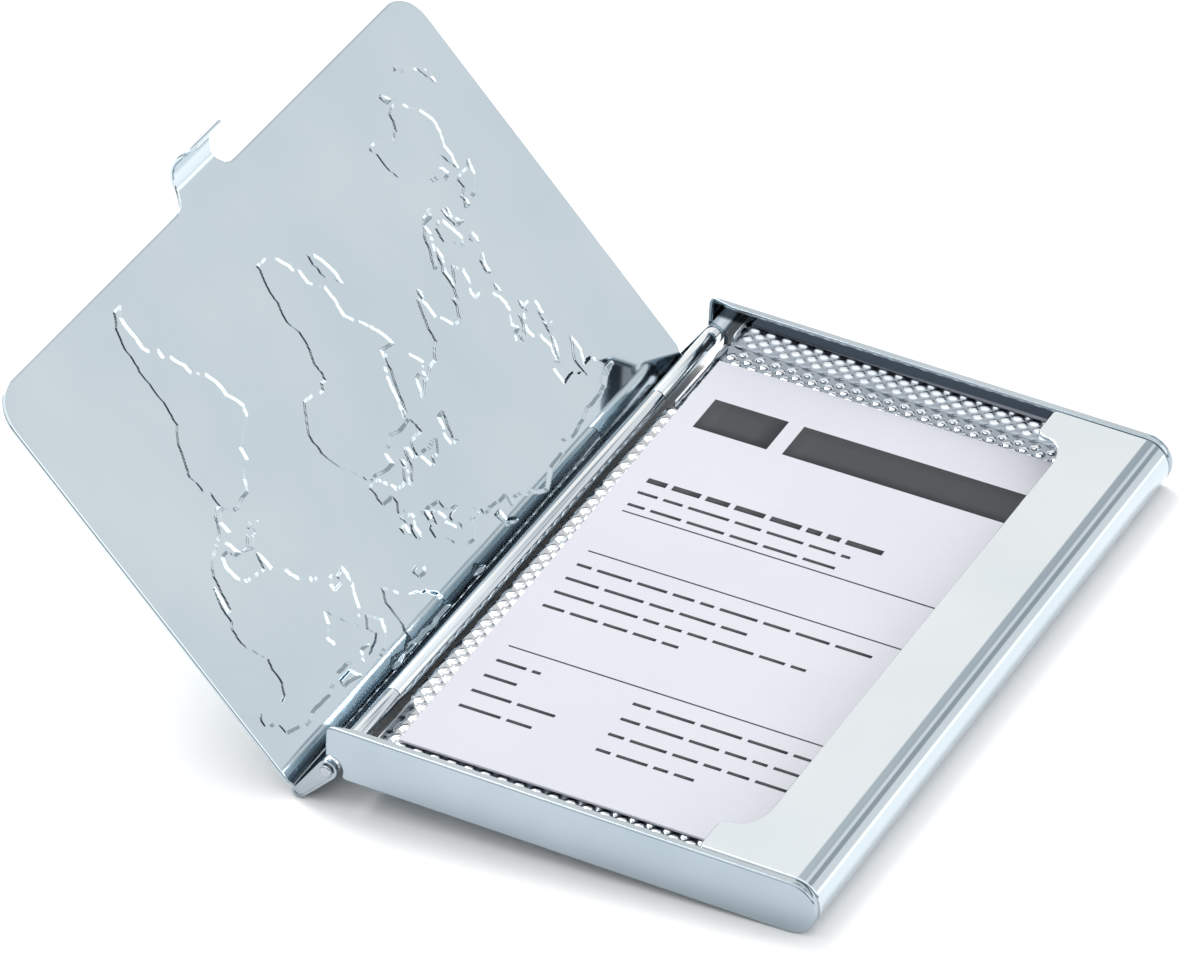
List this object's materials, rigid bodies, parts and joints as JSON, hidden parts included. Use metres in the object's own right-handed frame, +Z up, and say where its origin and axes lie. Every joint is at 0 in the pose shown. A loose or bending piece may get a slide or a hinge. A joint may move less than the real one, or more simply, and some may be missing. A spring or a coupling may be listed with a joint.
{
  "type": "business card case",
  "caption": "Flat polished steel pocket case for business cards, with a rounded side, a dimpled floor, a lip over one edge and a hinged lid with a latch tongue.",
  "frame": {"origin": "middle of the whole open case's footprint, on the table it lies on", "axes": "+X from the hinge side across to the rounded side, +Y along the hinge, +Z up"},
  "size_m": [0.1022, 0.1, 0.0495],
  "materials": {
    "body_steel": "mirror polished",
    "cap_steel": "mirror polished",
    "liner_steel": "polished, pressed with round dimples",
    "hinge_steel": "mirror polished",
    "pin_steel": "satin riveted ends",
    "lid_steel": "mirror polished, with a pressed relief",
    "ear_steel": "polished pressing",
    "card_stock": "smooth uncoated card"
  },
  "bodies": {
    "case_body": {"body_shell": "body_steel", "front_end_cap": "cap_steel", "far_end_cap": "cap_steel", "floor_liner": "liner_steel", "middle_knuckle": "hinge_steel", "hinge_pin": "pin_steel"},
    "lid": {"lid_shell": "lid_steel", "front_ear": "ear_steel", "far_ear": "ear_steel", "front_knuckle": "hinge_steel", "far_knuckle": "hinge_steel"},
    "card": {"card": "card_stock"}
  },
  "joints": [
    {"name": "lid_hinge", "type": "hinge", "parent": "case_body", "child": "lid", "pos_m": [-0.00843, 0, 0.00484], "axis": [0, 1, 0], "range_deg": [0, 135]},
    {"name": "card_slide", "type": "slide", "parent": "case_body", "child": "card", "axis": [0, 1, 0], "range_m": [-0.007, 0.0033]}
  ]
}
